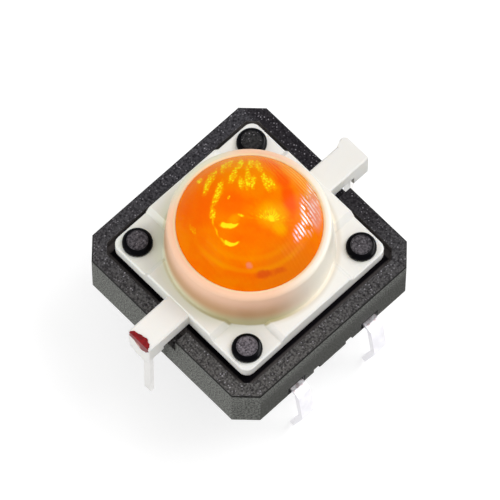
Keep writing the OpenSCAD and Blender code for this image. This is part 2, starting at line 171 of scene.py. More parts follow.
def between(tree, mask, low, high):
    return ramp(tree, mask, 0.0, 1.0, low, high)


def mixColour(tree, factor, a, b):
    node = addNode(tree, "ShaderNodeMix", data_type="RGBA")
    plug(tree, factor, node.inputs[0])
    for i, item in ((6, a), (7, b)):
        plug(tree, (*item, 1.0) if isinstance(item, tuple) else item, node.inputs[i])
    return node.outputs[2]


# Colours laid over a first one, each where its mask says
def layered(tree, colour, layers):
    for mask, other in layers:
        colour = mixColour(tree, mask, colour, other)
    return colour


def split(tree, vector):
    node = addNode(tree, "ShaderNodeSeparateXYZ")
    plug(tree, vector, node.inputs[0])
    return node.outputs


# Object coordinates in millimetres, and the surface's direction
def objectPlace(tree):
    coords = addNode(tree, "ShaderNodeTexCoord")
    mapping = addNode(tree, "ShaderNodeMapping", vector_type="POINT")
    mapping.inputs["Scale"].default_value = (perMm, perMm, perMm)
    plug(tree, coords.outputs["Object"], mapping.inputs["Vector"])
    return mapping.outputs["Vector"], coords.outputs["Normal"]


# The place seen from a centre, turned by degrees and measured in radii
def turned(tree, vector, centre=(0, 0), radii=(1, 1), turn=0, height=1.0):
    mapping = addNode(tree, "ShaderNodeMapping", vector_type="TEXTURE")
    mapping.inputs["Location"].default_value = (*centre, 0)
    mapping.inputs["Rotation"].default_value = (0, 0, math.radians(turn))
    mapping.inputs["Scale"].default_value = (*radii, height)
    plug(tree, vector, mapping.inputs["Vector"])
    return mapping.outputs["Vector"]


def planRadius(tree, across, along):
    squares = [times(tree, item, item) for item in (across, along)]
    return calc(tree, "SQRT", calc(tree, "ADD", *squares))


# Distance from the middle along whichever side axis is further
def squareRadius(tree, x, y):
    return strongest(tree, [calc(tree, "ABSOLUTE", x), calc(tree, "ABSOLUTE", y)])


def bumpFrom(tree, height, strength, distance):
    node = addNode(tree, "ShaderNodeBump", {"Strength": strength, "Distance": distance})
    plug(tree, height, node.inputs["Height"])
    return node.outputs["Normal"]


def dress(name, material):
    thing = nodes[name]
    thing.data.materials.clear()
    thing.data.materials.append(material)


# Node groups that several finishes share: a place and some numbers go in, and a mask comes out
grainGroups = {
    "cloudRoughness": 0.62,
    "grainCore": 0.35,  # share of a grain's size that is at full strength
}


def newGroup(name, numbers):
    group = bpy.data.node_groups.new(name, "ShaderNodeTree")
    group.interface.new_socket(name="Vector", in_out="INPUT", socket_type="NodeSocketVector")
    for label in numbers:
        group.interface.new_socket(name=label, in_out="INPUT", socket_type="NodeSocketFloat")
    group.interface.new_socket(name="Mask", in_out="OUTPUT", socket_type="NodeSocketFloat")
    source = group.nodes.new("NodeGroupInput")
    sink = group.nodes.new("NodeGroupOutput")
    return group, source.outputs, sink.inputs["Mask"]


# Cloudy patches, from none below Low to full above High
def makeMottleGroup(settings):
    group, source, mask = newGroup("mottle", ["Scale", "Detail", "Low", "High"])
    cloud = addNode(group, "ShaderNodeTexNoise", {"Roughness": settings["cloudRoughness"]})
    for name in ("Vector", "Scale", "Detail"):
        plug(group, source[name], cloud.inputs[name])
    plug(group, ramp(group, cloud.outputs["Fac"], source["Low"], source["High"]), mask)
    return group


# Separate grains of unequal strength; Amount is the share of cells that hold one
def makeSpeckleGroup(settings):
    group, source, mask = newGroup("speckle", ["Scale", "Size", "Amount"])
    cells = addNode(group, "ShaderNodeTexVoronoi")
    for name in ("Vector", "Scale"):
        plug(group, source[name], cells.inputs[name])
    core = times(group, source["Size"], settings["grainCore"])
    grain = ramp(group, cells.outputs["Distance"], source["Size"], core)
    chance = split(group, cells.outputs["Color"])[0]
    chosen = ramp(group, chance, calc(group, "SUBTRACT", 1.0, source["Amount"]), 1.0)
    plug(group, times(group, grain, chosen), mask)
    return group


mottleGroup = makeMottleGroup(grainGroups)
speckleGroup = makeSpeckleGroup(grainGroups)


def useGroup(tree, group, vector, **values):
    node = addNode(tree, "ShaderNodeGroup", node_tree=group)
    plug(tree, vector, node.inputs["Vector"])
    for name, value in values.items():
        node.inputs[name].default_value = value
    return node.outputs["Mask"]


def mottle(tree, vector, scale, low=0.35, high=0.65, detail=3.0):
    return useGroup(tree, mottleGroup, vector, Scale=scale, Detail=detail, Low=low, High=high)


def speckle(tree, vector, scale, size, amount):
    return useGroup(tree, speckleGroup, vector, Scale=scale, Size=size, Amount=amount)


# Black nylon: textured tops with painted glints, light and shade; blasted walls with painted sheen and shade;
# a dark pocket with painted light and shadow; smooth peg shoulders
blackNylon = {
    "surface": {"Specular IOR Level": 0.03},
    "roughness": (0.22, 0.65),
    "bump": (0.5, 0.03 * mm),
    # Top tones: the front ones are painted light, the back right one is painted shade
    "topBack": (0.066, 0.064, 0.072),
    "topBackRightShade": (0.030, 0.027, 0.032),
    "topFrontLit": (0.125, 0.120, 0.116),
    "pegBack": (0.042, 0.042, 0.042),
    "pegFrontLit": (0.200, 0.182, 0.205),
    # Black of the grain's pits, used also as painted shade in the notches and painted shadow round the
    # terminals and under the plate
    "pitAndShade": (0.006, 0.005, 0.007),
    # Pale specks painted as glints of the textured top
    "paintedGlint": (0.42, 0.40, 0.44),
    # Wall tones paled by painted sheen; the right one is painted shade
    "wall": (0.245, 0.250, 0.233),
    "wallDark": (0.078, 0.080, 0.074),
    "wallRightShade": (0.055, 0.055, 0.050),
    # Pocket floor, paled by painted light
    "pocket": (0.130, 0.115, 0.112),
    "outerEdge": (0.022, 0.022, 0.021),
    "shoulder": (0.002, 0.002, 0.003),
    # Grain, at scales in cells per millimetre
    "grain": {"scale": 8.0, "low": 0.36, "high": 0.66, "detail": 2.0},
    "pits": {"scale": 6.4, "size": 0.5, "amount": 0.55},
    "paintedGlints": {"scale": 8.5, "size": 0.42, "amount": 0.62},
    "patches": {"scale": 1.3, "low": 0.30, "high": 0.70},
    "blast": {"scale": 11.0, "low": 0.39, "high": 0.61, "detail": 5.0},
    "blastHeight": 1.4,
    "grainShare": 0.72,
    "pitShare": 0.75,
    "paintedGlintShares": (0.25, 0.95),
    "lowWallShare": 0.7,
    "cornerShare": 0.65,
    # Places in millimetres, each pair from none to full; across is the distance from the middle
    "farRimY": (4.9, 5.3),
    "farRimX": (5.0, 2.5),
    "topFrontward": (-7.0, 9.8),
    "pegFrontward": (-7.0, 7.0),
    "pegZ": (3.45, 3.75),
    "lowWallZ": (3.15, 1.7),
    "outsideAcross": (5.5, 5.6),
    "pocketAcross": (5.22, 5.21),
    "pocketZ": (3.12, 3.09),
    "underPlateAcross": (4.95, 4.83),
    "notchAcross": (5.97, 5.93),
    "notchY": (3.4, 3.3),
    "notchZ": (0.80, 0.75),
    "legFromMiddle": 2.5,
    "besideLeg": (0.64, 0.52),
    "legZ": (0.96, 0.84),
    # Parts of the surface's direction, each pair from none to full
    "topFacing": (0.985, 0.999),
    "wallFacing": (0.15, 0.05),
    "sideFacing": (0.6, 0.95),
    "cornerFacing": (0.4, 0.6),
    "legFacing": (0.8, 0.95),
}


def makeBlackNylon(look):
    material, tree, shader = newMaterial("blackNylon", look["surface"])
    place, normal = objectPlace(tree)
    x, y, z = split(tree, place)
    toX, toY, up = split(tree, normal)
    across = squareRadius(tree, x, y)
    # Top faces: painted light, paler to the front, and painted shade on the far rim
    grain = mottle(tree, place, **look["grain"])
    pits = speckle(tree, place, **look["pits"])
    paintedGlint = speckle(tree, place, **look["paintedGlints"])
    patchy = mottle(tree, place, **look["patches"])
    frontward = calc(tree, "SUBTRACT", x, y)
    farRimShade = times(tree, ramp(tree, y, *look["farRimY"]), ramp(tree, x, *look["farRimX"]))
    peg = mixColour(tree, ramp(tree, frontward, *look["pegFrontward"]), look["pegBack"], look["pegFrontLit"])
    top = layered(tree, look["topBack"], [
        (farRimShade, look["topBackRightShade"]),
        (ramp(tree, frontward, *look["topFrontward"]), look["topFrontLit"]),
        (ramp(tree, z, *look["pegZ"]), peg),
        (times(tree, grain, look["grainShare"]), look["pitAndShade"]),
        (times(tree, pits, look["pitShare"]), look["pitAndShade"]),
        # Pale specks painted as glints, thicker in patches
        (times(tree, paintedGlint, between(tree, patchy, *look["paintedGlintShares"])), look["paintedGlint"]),
    ])
    # Side walls: blasted grain paled by painted sheen, with painted shade low down on the +X side and at the
    # corner between +X and +Y
    blasted = mottle(tree, turned(tree, place, height=look["blastHeight"]), **look["blast"])
    lowDown = times(tree, ramp(tree, z, *look["lowWallZ"]), ramp(tree, toX, *look["sideFacing"]),
                    look["lowWallShare"])
    corner = times(tree, ramp(tree, toX, *look["cornerFacing"]), ramp(tree, toY, *look["cornerFacing"]),
                   look["cornerShare"])
    # Painted shade in black inside the notches of the terminal sides, and painted shadow close round each
    # terminal
    fromMiddle = calc(tree, "ABSOLUTE", y)
    recessed = times(tree, ramp(tree, across, *look["notchAcross"]), ramp(tree, fromMiddle, *look["notchY"]),
                     ramp(tree, z, *look["notchZ"]))
    besideLeg = calc(tree, "ABSOLUTE", calc(tree, "SUBTRACT", fromMiddle, look["legFromMiddle"]))
    legSide = ramp(tree, calc(tree, "ABSOLUTE", toX), *look["legFacing"])
    roundLeg = times(tree, ramp(tree, besideLeg, *look["besideLeg"]), legSide, ramp(tree, z, *look["legZ"]))
    wall = layered(tree, look["wallDark"], [
        (blasted, look["wall"]),
        (strongest(tree, [lowDown, corner]), look["wallRightShade"]),
        (strongest(tree, [recessed, roundLeg]), look["pitAndShade"]),
    ])
    # Pocket floor in painted light, with painted shadow in black under the plate
    pocket = mixColour(tree, ramp(tree, across, *look["underPlateAcross"]), look["pocket"], look["pitAndShade"])
    inPocket = times(tree, ramp(tree, across, *look["pocketAcross"]), ramp(tree, z, *look["pocketZ"]))
    isTop = ramp(tree, up, *look["topFacing"])
    isWall = ramp(tree, up, *look["wallFacing"])
    colour = layered(tree, look["shoulder"], [
        (ramp(tree, across, *look["outsideAcross"]), look["outerEdge"]),
        (isTop, top),
        (isWall, wall),
        (inPocket, pocket),
    ])
    plug(tree, colour, shader.inputs["Base Color"])
    textured = strongest(tree, [isTop, isWall])
    plug(tree, between(tree, textured, *look["roughness"]), shader.inputs["Roughness"])
    relief = times(tree, calc(tree, "SUBTRACT", paintedGlint, grain), isTop)
    plug(tree, bumpFrom(tree, relief, *look["bump"]), shader.inputs["Normal"])
    return material


# White nylon: milky, with the lamp's orange glow and light and shade painted on its collar, painted shade of
# the collar on the plate, and painted shade in the gap round the plate
whiteNylon = {
    "surface": {
        "Roughness": 0.38,
        "Specular IOR Level": 0.2,
        "Subsurface Weight": 0.35,
        "Subsurface Radius": (1.0, 0.9, 0.75),
        "Subsurface Scale": 0.4 * mm,
    },
    "grain": {"scale": 3.0, "low": 0.2, "high": 0.8},
    "bump": (0.2, 0.02 * mm),
    "plate": (0.90, 0.885, 0.845),
    "shade": (0.85, 0.86, 0.79),
    # Collar tones, all painted: the lamp's glow in peach and tan, shade in green and on the far rim, light in
    # ivory, a highlight in cream
    "peachGlow": (0.99, 0.62, 0.43),
    "tan": (0.58, 0.33, 0.17),
    "greenShade": (0.52, 0.46, 0.25),
    "greenLeft": (0.74, 0.70, 0.50),
    # Painted shade of the collar on the plate's left
    "halo": (0.84, 0.85, 0.70),
    "ivoryLit": (1.0, 0.91, 0.78),
    # Painted shade at the collar's right foot
    "footRightShade": (0.80, 0.75, 0.67),
    "rimBackShade": (0.76, 0.74, 0.57),
    "creamHighlight": (1.0, 0.78, 0.48),
    # Painted shade low on the plate's edges in the gap
    "gapShade": (0.74, 0.71, 0.68),
    # Places in millimetres, each pair from none to full; in a row of four, the last two are those shares
    "shadeRightward": (0.5, -5.0, 0.0, 0.75),
    "plateAcross": (4.86, 4.84),
    "plateEdgeAcross": (4.20, 4.30),
    "plateEdgeZ": (3.45, 3.15),
    "collarShadeRadius": (5.01, 4.36),
    "footRadius": (4.66, 4.41),
    "collarRadius": (4.45, 4.33),
    "collarZ": (3.83, 3.95),
    "tanZ": (4.2, 5.0),
    "peachZ": (4.9, 6.4),
    "farRimZ": (6.2, 6.5),
    "creamRadius": (3.79, 3.69),
    # Cosines of the bearing from the right, or from +X at the far rim
    "collarShadeSide": (0.3, -0.6, 0.0, 0.7),
    "footSide": (0.0, 0.6),
    "greenSide": (-0.2, -0.9),
    "farRimSide": (-0.76, -0.97),
    "ivorySide": (0.25, 0.9),
    # Upward part of the surface's direction
    "plateEdgeFacing": (0.5, 0.1),
}


def makeWhiteNylon(look):
    material, tree, shader = newMaterial("whiteNylon", look["surface"])
    place, normal = objectPlace(tree)
    x, y, z = split(tree, place)
    up = split(tree, normal)["Z"]
    rightward = times(tree, calc(tree, "ADD", x, y), math.sqrt(0.5))
    radius = planRadius(tree, x, y)
    rightSide = calc(tree, "DIVIDE", rightward, radius)
    across = squareRadius(tree, x, y)
    # Plate: painted shade to the left, painted shade round the collar's foot, and painted shade low on its
    # edges in the gap
    onPlate = ramp(tree, across, *look["plateAcross"])
    collarShadeLeft = times(tree, ramp(tree, radius, *look["collarShadeRadius"]), ramp(tree, rightSide, *look["collarShadeSide"]))
    collarShadeRight = times(tree, ramp(tree, radius, *look["footRadius"]), ramp(tree, rightSide, *look["footSide"]))
    nearEdge = ramp(tree, across, *look["plateEdgeAcross"])
    isEdge = times(tree, ramp(tree, up, *look["plateEdgeFacing"]), nearEdge, onPlate)
    plate = layered(tree, look["plate"], [
        (times(tree, onPlate, ramp(tree, rightward, *look["shadeRightward"])), look["shade"]),
        (collarShadeLeft, look["halo"]),
        (collarShadeRight, look["footRightShade"]),
        (times(tree, isEdge, ramp(tree, z, *look["plateEdgeZ"])), look["gapShade"]),
    ])
    # Collar: the lamp's orange glow painted in tan and peach, painted shade in green at its foot and on the
    # far rim, painted light in ivory to the right and a painted highlight in cream at its bore
    xSide = calc(tree, "DIVIDE", x, radius)
    farRimShade = times(tree, ramp(tree, xSide, *look["farRimSide"]), ramp(tree, z, *look["farRimZ"]))
    collar = layered(tree, look["greenShade"], [
        (ramp(tree, rightSide, *look["greenSide"]), look["greenLeft"]),
        (ramp(tree, z, *look["tanZ"]), look["tan"]),
        (ramp(tree, z, *look["peachZ"]), look["peachGlow"]),
        (farRimShade, look["rimBackShade"]),
        (ramp(tree, rightSide, *look["ivorySide"]), look["ivoryLit"]),
        (ramp(tree, radius, *look["creamRadius"]), look["creamHighlight"]),
    ])
    onCollar = times(tree, ramp(tree, radius, *look["collarRadius"]), ramp(tree, z, *look["collarZ"]))
    plug(tree, mixColour(tree, onCollar, plate, collar), shader.inputs["Base Color"])
    fine = mottle(tree, place, **look["grain"])
    plug(tree, bumpFrom(tree, fine, *look["bump"]), shader.inputs["Normal"])
    return material


# Marks drawn on a plan view
flattened = 1e6  # a scale so large that the height no longer counts
strokeHalf = 0.6  # half a stroke's length as a share of its run, so that its ends fade past both places
crescentEdges = {"spot": (0.02, 0.45), "cut": (0.05, 0.40)}
rayShape = {"width": (-1.3, 0.9), "ahead": (-0.1, 0.2), "fade": (1.0, 0.1)}


# Round spot: full at its centre and gone at its radii
def blob(tree, vector, centre, radii, turn=0):
    gradient = addNode(tree, "ShaderNodeTexGradient", gradient_type="SPHERICAL")
    plug(tree, turned(tree, vector, centre, radii, turn, flattened), gradient.inputs["Vector"])
    return gradient.outputs["Fac"]


# The same with a whole middle, wherever the plain spot is above full
def spot(tree, vector, centre, radii, turn=0, strength=1.0, full=0.7):
    return ramp(tree, blob(tree, vector, centre, radii, turn), 0.0, full, 0.0, strength)


# Spots, each with a centre, radii, a turn in degrees and a strength
def spots(tree, vector, rows):
    return strongest(tree, [spot(tree, vector, *row) for row in rows])


# Soft strokes, each from one place to another with a width and a strength
def strokes(tree, vector, rows):
    masks = []
    for start, end, width, strength in rows:
        middle = ((start[0] + end[0]) / 2, (start[1] + end[1]) / 2)
        run = (end[0] - start[0], end[1] - start[1])
        turn = math.degrees(math.atan2(run[1], run[0]))
        masks.append(spot(tree, vector, middle, (math.hypot(*run) * strokeHalf, width), turn, strength))
    return strongest(tree, masks)


# Crescents, each a round spot less one of its size at another centre
def crescents(tree, vector, rows):
    masks = []
    for centre, radii, cut in rows:
        whole = ramp(tree, blob(tree, vector, centre, radii), *crescentEdges["spot"])
        hole = ramp(tree, blob(tree, vector, cut, radii), *crescentEdges["cut"])
        masks.append(calc(tree, "SUBTRACT", whole, hole, clamp=True))
    return strongest(tree, masks)


# Rays that spread from a centre to one side and fade with distance
def burst(tree, vector, centre, reach, rays, strength, facing=0):
    across, along = split(tree, turned(tree, vector, centre, (reach, reach), facing))[:2]
    bearing = calc(tree, "ARCTAN2", across, along)
    ray = ramp(tree, calc(tree, "SINE", times(tree, bearing, rays)), *rayShape["width"])
    ahead = ramp(tree, along, *rayShape["ahead"])
    fade = ramp(tree, planRadius(tree, across, along), *rayShape["fade"])
    return times(tree, ray, ahead, fade, strength)


# Tinted epoxy with mould marks and bright painted glints of the lamp's inside, in millimetres on axes 45
# degrees from the base's
amberEpoxy = {
    "surface": {
        "Roughness": 0.08,
        "Specular IOR Level": 0.012,
        "Coat Roughness": 0.12,
        "Subsurface Weight": 0.2,
        "Subsurface Radius": (1.0, 0.35, 0.05),
        "Subsurface Scale": 0.5 * mm,
    },
    "body": (1.0, 0.175, 0.0),
    "pale": (1.0, 0.225, 0.0),
    "deep": (1.0, 0.092, 0.001),
    "dull": (0.90, 0.195, 0.003),
    # Ochre of painted sheen at the right rim
    "ochreSheen": (1.0, 0.46, 0.055),
    "gold": (1.0, 0.42, 0.0),
    # Yellow cores of the painted glints
    "yellowGlint": (1.0, 0.80, 0.010),
    "pink": (0.90, 0.32, 0.27),
    "white": (1.0, 0.86, 0.78),
    "groove": (0.60, 0.14, 0.02),
    "smudge": (0.74, 0.060, 0.008),
    "turn": 45,
    "waver": {"perMm": 2.6, "detail": 3.0, "reach": 0.22},
    "markWave": {"Distortion": 1.6, "Detail": 2.0, "Detail Scale": 1.5},
    "marksPerMm": 5.0,
    "crispMarks": (0.35, 0.75),
    "fineMarksPerMm": 5.5,
    "fineMarks": (0.3, 0.8, 0.1, 0.95),
    "bump": (0.4, 0.02 * mm),
    "clouds": {"scale": 0.9},
    "reds": [
        ((0.95, 2.75), (1.20, 0.55), -48, 0.9),
        ((1.55, 1.75), (1.20, 0.50), -66, 0.9),
        ((1.90, 0.60), (1.30, 0.50), -82, 0.9),
        ((-0.80, 0.10), (1.20, 1.00), 0, 0.5),
        ((0.10, -1.40), (1.90, 0.80), 0, 0.3),
        ((-2.50, 0.10), (1.20, 1.60), 0, 0.5),
        ((-0.40, -3.00), (1.30, 0.30), 0, 0.4),
    ],
    "dullZones": [((2.2, -2.7), (2.4, 1.7), math.degrees(0.3), 0.85)],
    # Ochre streaks of painted sheen at the right rim
    "rimRadius": (2.5, 3.2),
    "rimRightward": (0.9, 2.4),
    "rimBackward": (-0.6, 1.4),
    # Pale rings low down, each with a radius, a width and a strength
    "ringsBackward": (-1.2, -2.2),
    "rings": [(2.95, 0.16, 0.35), (2.50, 0.20, 0.25)],
    "smudges": [
        ((0.80, -3.00), (0.60, 0.22), 10, 0.7),
        ((1.50, -2.80), (0.50, 0.16), 22, 0.5),
    ],
    "pinkDots": [((0.05, -2.76), (0.24, 0.16), 0, 0.45)],
    # Highlight
    "shine": [
        ((2.82, 0.25), (0.44, 1.45), 4, 1.0),
        ((2.52, -0.85), (0.32, 0.80), -26, 0.9),
        ((3.10, 1.55), (0.40, 1.10), 10, 0.8),
        ((3.20, 0.50), (0.30, 1.10), 4, 0.6),
    ],
    "blush": {"centre": (3.20, 0.50), "radii": (0.42, 1.30), "turn": 6, "strength": 0.7, "full": 0.6},
    "dashes": {"scale": 2.8, "low": 0.36, "high": 0.56},
    "grooveShare": 0.35,
    "dashShare": 0.9,
    # Painted glints of the lamp's inside
    "beads": {"scale": 8.5, "size": 0.75, "amount": 1.5},
    "beadGain": 1.5,
    "strokes": [
        ((-1.85, 2.40), (-2.26, 0.66), 0.26, 0.9),
        ((-2.46, 2.10), (-2.50, 1.62), 0.20, 0.95),
        ((-1.62, 2.60), (-1.95, 1.40), 0.20, 0.6),
        ((-1.30, 1.62), (-1.80, 0.00), 0.27, 0.95),
        ((-1.22, 3.05), (-1.40, 1.90), 0.26, 0.7),
        ((-0.92, 3.15), (-1.12, 2.30), 0.22, 0.7),
        ((-0.60, 2.55), (-1.02, 1.10), 0.25, 0.8),
        ((-0.42, 3.15), (-0.58, 2.10), 0.22, 1.0),
        ((-0.17, 2.60), (-0.08, 0.70), 0.22, 1.0),
        ((-0.46, 1.75), (-0.38, 0.76), 0.22, 0.8),
        ((0.20, 1.90), (0.12, 0.76), 0.20, 0.8),
        ((-0.04, 3.10), (0.04, 2.20), 0.24, 0.9),
        ((0.24, 3.05), (0.52, 1.85), 0.26, 0.8),
        ((0.52, 2.10), (1.02, 0.72), 0.28, 0.95),
        ((0.90, 1.80), (1.26, 0.85), 0.20, 0.7),
        ((-1.84, 0.20), (-1.74, -0.75), 0.20, 0.8),
        ((-0.98, 0.62), (-1.06, 0.30), 0.12, 0.5),
        ((-2.90, -0.50), (-2.60, -1.20), 0.14, 0.4),
    ],
    "arcs": [
        ((-1.84, -0.30), (-1.70, -1.00), 0.08, 0.6),
        ((-1.72, -0.90), (-1.46, -1.55), 0.08, 0.6),
        ((-1.50, -1.45), (-1.10, -1.92), 0.08, 0.6),
    ],
    "crescents": [
        ((-0.96, -0.92), (0.58, 0.30), (-0.86, -0.70)),
        ((-0.86, -1.78), (0.50, 0.24), (-0.74, -1.60)),
    ],
    "fountain": {"centre": (-0.25, 4.30), "reach": 3.9, "rays": 90, "facing": 180, "strength": 0.7},
    "fountainBackward": (0.6, 1.4),
    "comet": {"centre": (1.02, -0.84), "reach": 1.50, "rays": 26, "strength": 0.95},
    "cometShares": (0.35, 1.0),
    "patches": [
        ((0.74, -0.56), (0.70, 0.20), 6, 0.6),
        ((1.08, -0.42), (0.85, 0.62), -20, 0.6),
        ((1.08, -0.62), (0.38, 0.26), -35, 0.9),
        ((-0.42, -0.56), (0.32, 0.11), -12, 0.8),
    ],
    "patchShares": (0.7, 1.0),
    "feather": {"scale": 3.4, "low": 0.34, "high": 0.60},
    "featherRadii": (0.6, 1.6),
    "glows": [
        ((1.10, -0.40), (1.10, 0.95), 0, 0.8),
        ((1.45, -0.95), (0.60, 0.50), -40, 0.9),
        ((-0.75, -0.72), (0.45, 0.30), 30, 0.5),
        ((-0.35, 2.20), (1.90, 1.50), 0, 0.3),
    ],
    "strokeHalo": (0.0, 0.9, 0.0, 0.8),
    "solidCore": (0.25, 1.0),
    "yellowFrom": (0.05, 1.0),
}


# Plan view of the lens on its turned axes, plain and with a waver
def lensPlace(tree, place, turn, waver):
    plan = turned(tree, place, turn=turn)
    cloud = addNode(tree, "ShaderNodeTexNoise", {"Scale": waver["perMm"], "Detail": waver["detail"]})
    plug(tree, plan, cloud.inputs["Vector"])
    centred = addNode(tree, "ShaderNodeVectorMath", operation="SUBTRACT")
    centred.inputs[1].default_value = (0.5, 0.5, 0.5)
    plug(tree, cloud.outputs["Color"], centred.inputs[0])
    shifted = addNode(tree, "ShaderNodeVectorMath", operation="MULTIPLY_ADD")
    shifted.inputs[1].default_value = (waver["reach"], waver["reach"], 0.0)
    plug(tree, centred.outputs[0], shifted.inputs[0])
    plug(tree, plan, shifted.inputs[2])
    return plan, shifted.outputs[0]


def mouldMarks(tree, place, marksPerMm, wave):
    bandsPerScale = 10 / math.pi  # a Wave texture's bands in one unit at a scale of 1
    values = {"Scale": marksPerMm / bandsPerScale, **wave}
    marks = addNode(tree, "ShaderNodeTexWave", values, wave_type="BANDS", bands_direction="Y")
    plug(tree, place, marks.inputs["Vector"])
    return marks.outputs["Fac"]


def makeAmberEpoxy(look):
    material, tree, shader = newMaterial("amberEpoxy", look["surface"])
    place = objectPlace(tree)[0]
    plan, wavy = lensPlace(tree, place, look["turn"], look["waver"])
    rightward, backward = split(tree, plan)[:2]
    radius = planRadius(tree, rightward, backward)
    marks = mouldMarks(tree, place, look["marksPerMm"], look["markWave"])
    fineMarks = mouldMarks(tree, place, look["fineMarksPerMm"], look["markWave"])
    # Body: paler, redder and duller zones, and ochre streaks of painted sheen between the marks at the right
    # rim
    rightRim = times(tree, ramp(tree, radius, *look["rimRadius"]),
                     ramp(tree, rightward, *look["rimRightward"]), ramp(tree, backward, *look["rimBackward"]))
    colour = layered(tree, look["body"], [
        (mottle(tree, plan, **look["clouds"]), look["pale"]),
        (spots(tree, wavy, look["reds"]), look["deep"]),
        (spots(tree, wavy, look["dullZones"]), look["dull"]),
        (times(tree, rightRim, ramp(tree, fineMarks, *look["fineMarks"])), look["ochreSheen"]),
    ])
    # Low down: pale rings, smudges and a pink dot
    ringSide = ramp(tree, backward, *look["ringsBackward"])
    for ringRadius, width, strength in look["rings"]:
        apart = calc(tree, "ABSOLUTE", calc(tree, "SUBTRACT", radius, ringRadius))
        ring = times(tree, ramp(tree, apart, width, 0.0), ringSide, strength)
        colour = mixColour(tree, ring, colour, look["gold"])
    colour = layered(tree, colour, [
        (spots(tree, wavy, look["smudges"]), look["smudge"]),
        (spots(tree, wavy, look["pinkDots"]), look["pink"]),
    ])
    # Highlight, broken into dashes by the marks
    shine = spots(tree, wavy, look["shine"])
    dashes = times(tree, ramp(tree, marks, *look["crispMarks"]), mottle(tree, wavy, **look["dashes"]))
    colour = layered(tree, colour, [
        (spot(tree, wavy, **look["blush"]), look["pink"]),
        (times(tree, shine, look["grooveShare"]), look["groove"]),
        (times(tree, shine, dashes, look["dashShare"]), look["white"]),
    ])
    # Painted glints of the lamp's inside: fine beads in strokes over a fountain of gold rays, and a comet
    # with a feathered edge
    soft = strokes(tree, wavy, look["strokes"])
    beads = speckle(tree, plan, **look["beads"])
    farBack = ramp(tree, backward, *look["fountainBackward"])
    fountain = times(tree, burst(tree, wavy, **look["fountain"]), farBack)
    feather = mottle(tree, turned(tree, wavy, radii=look["featherRadii"]), **look["feather"])
    comet = times(tree, burst(tree, wavy, **look["comet"]), between(tree, feather, *look["cometShares"]))
    patches = times(tree, spots(tree, wavy, look["patches"]), between(tree, feather, *look["patchShares"]))
    arcs = strokes(tree, wavy, look["arcs"])
    solid = strongest(tree, [arcs, comet, patches, crescents(tree, wavy, look["crescents"])])
    glow = spots(tree, wavy, look["glows"])
    halo = strongest(tree, [ramp(tree, soft, *look["strokeHalo"]), fountain, solid, glow])
    beaded = times(tree, soft, beads, look["beadGain"])
    core = strongest(tree, [beaded, ramp(tree, solid, *look["solidCore"])])
    colour = layered(tree, colour, [
        (halo, look["gold"]),
        (ramp(tree, core, *look["yellowFrom"]), look["yellowGlint"]),
    ])
    plug(tree, colour, shader.inputs["Base Color"])
    plug(tree, times(tree, shine, dashes), shader.inputs["Coat Weight"])
    plug(tree, bumpFrom(tree, marks, *look["bump"]), shader.inputs["Normal"])
    return material


def shaded(colour, share):
    return tuple(part * share for part in colour)


# Bright tin plate on rolled strip: stained, duller on the sheared edges, with a painted reflection of the
# base's wall, in spots, where a bend faces up
tinPlate = {
    "surface": {"Metallic": 1.0},
    "stains": {"scale": 2.2, "low": 0.3, "high": 0.7},
    "stainShade": 0.93,
    "stainRoughness": 1.4,
    "shearedFacing": (0.7, 0.95),
    "wallReflectionSpots": {"scale": 5.0, "low": 0.45, "high": 0.62},
    "wallReflectionFacing": (0.6, 0.9),
    "grain": {"scale": 18.0, "low": 0.2, "high": 0.8},
    "bump": (0.05, 0.01 * mm),
}
tinStrip = {
    "face": (0.83, 0.82, 0.86),
    "edge": (0.80, 0.79, 0.82),
    "rough": 0.30,
    # Painted reflection of the base's wall on the bends' upper faces
    "wallReflection": (0.56, 0.46, 0.47),
}
tinLead = {
    "face": (0.86, 0.85, 0.83),
    "edge": (0.80, 0.79, 0.77),
    "rough": 0.35,
}


def makeTinPlate(look, name, face, edge, rough, wallReflection=None):
    material, tree, shader = newMaterial(name, look["surface"])
    place, normal = objectPlace(tree)
    toY, up = split(tree, normal)[1:]
    stain = mottle(tree, place, **look["stains"])
    sheared = ramp(tree, calc(tree, "ABSOLUTE", toY), *look["shearedFacing"])
    tint = layered(tree, shaded(face, look["stainShade"]), [(stain, face), (sheared, edge)])
    # Painted reflection of the base's wall, in spots, where a bend faces up
    if wallReflection:
        reflectsWall = times(tree, ramp(tree, up, *look["wallReflectionFacing"]), mottle(tree, place, **look["wallReflectionSpots"]))
        tint = mixColour(tree, reflectsWall, tint, wallReflection)
    plug(tree, tint, shader.inputs["Base Color"])
    plug(tree, between(tree, stain, rough, rough * look["stainRoughness"]), shader.inputs["Roughness"])
    fine = mottle(tree, place, **look["grain"])
    plug(tree, bumpFrom(tree, fine, *look["bump"]), shader.inputs["Normal"])
    return material


# Pieces inside the switch and the lamp, with a slight mottle
innerPieces = {
    "grain": {"scale": 8.0, "low": 0.3, "high": 0.7},
    "shade": 0.8,
    "finishes": {
        "snap_dome": ("domeSteel", (0.74, 0.72, 0.66), {"Roughness": 0.25, "Metallic": 1.0}),
        "lamp_chip": ("lampDie", (0.45, 0.3, 0.08), {"Roughness": 0.5}),
        "lamp_bond_wire": ("bondGold", (0.83, 0.62, 0.2), {"Roughness": 0.2, "Metallic": 1.0}),
    },
}


def makeInnerFinish(look, name, colour, surface):
    material, tree, shader = newMaterial(name, surface)
    fine = mottle(tree, objectPlace(tree)[0], **look["grain"])
    plug(tree, mixColour(tree, fine, shaded(colour, look["shade"]), colour), shader.inputs["Base Color"])
    return material


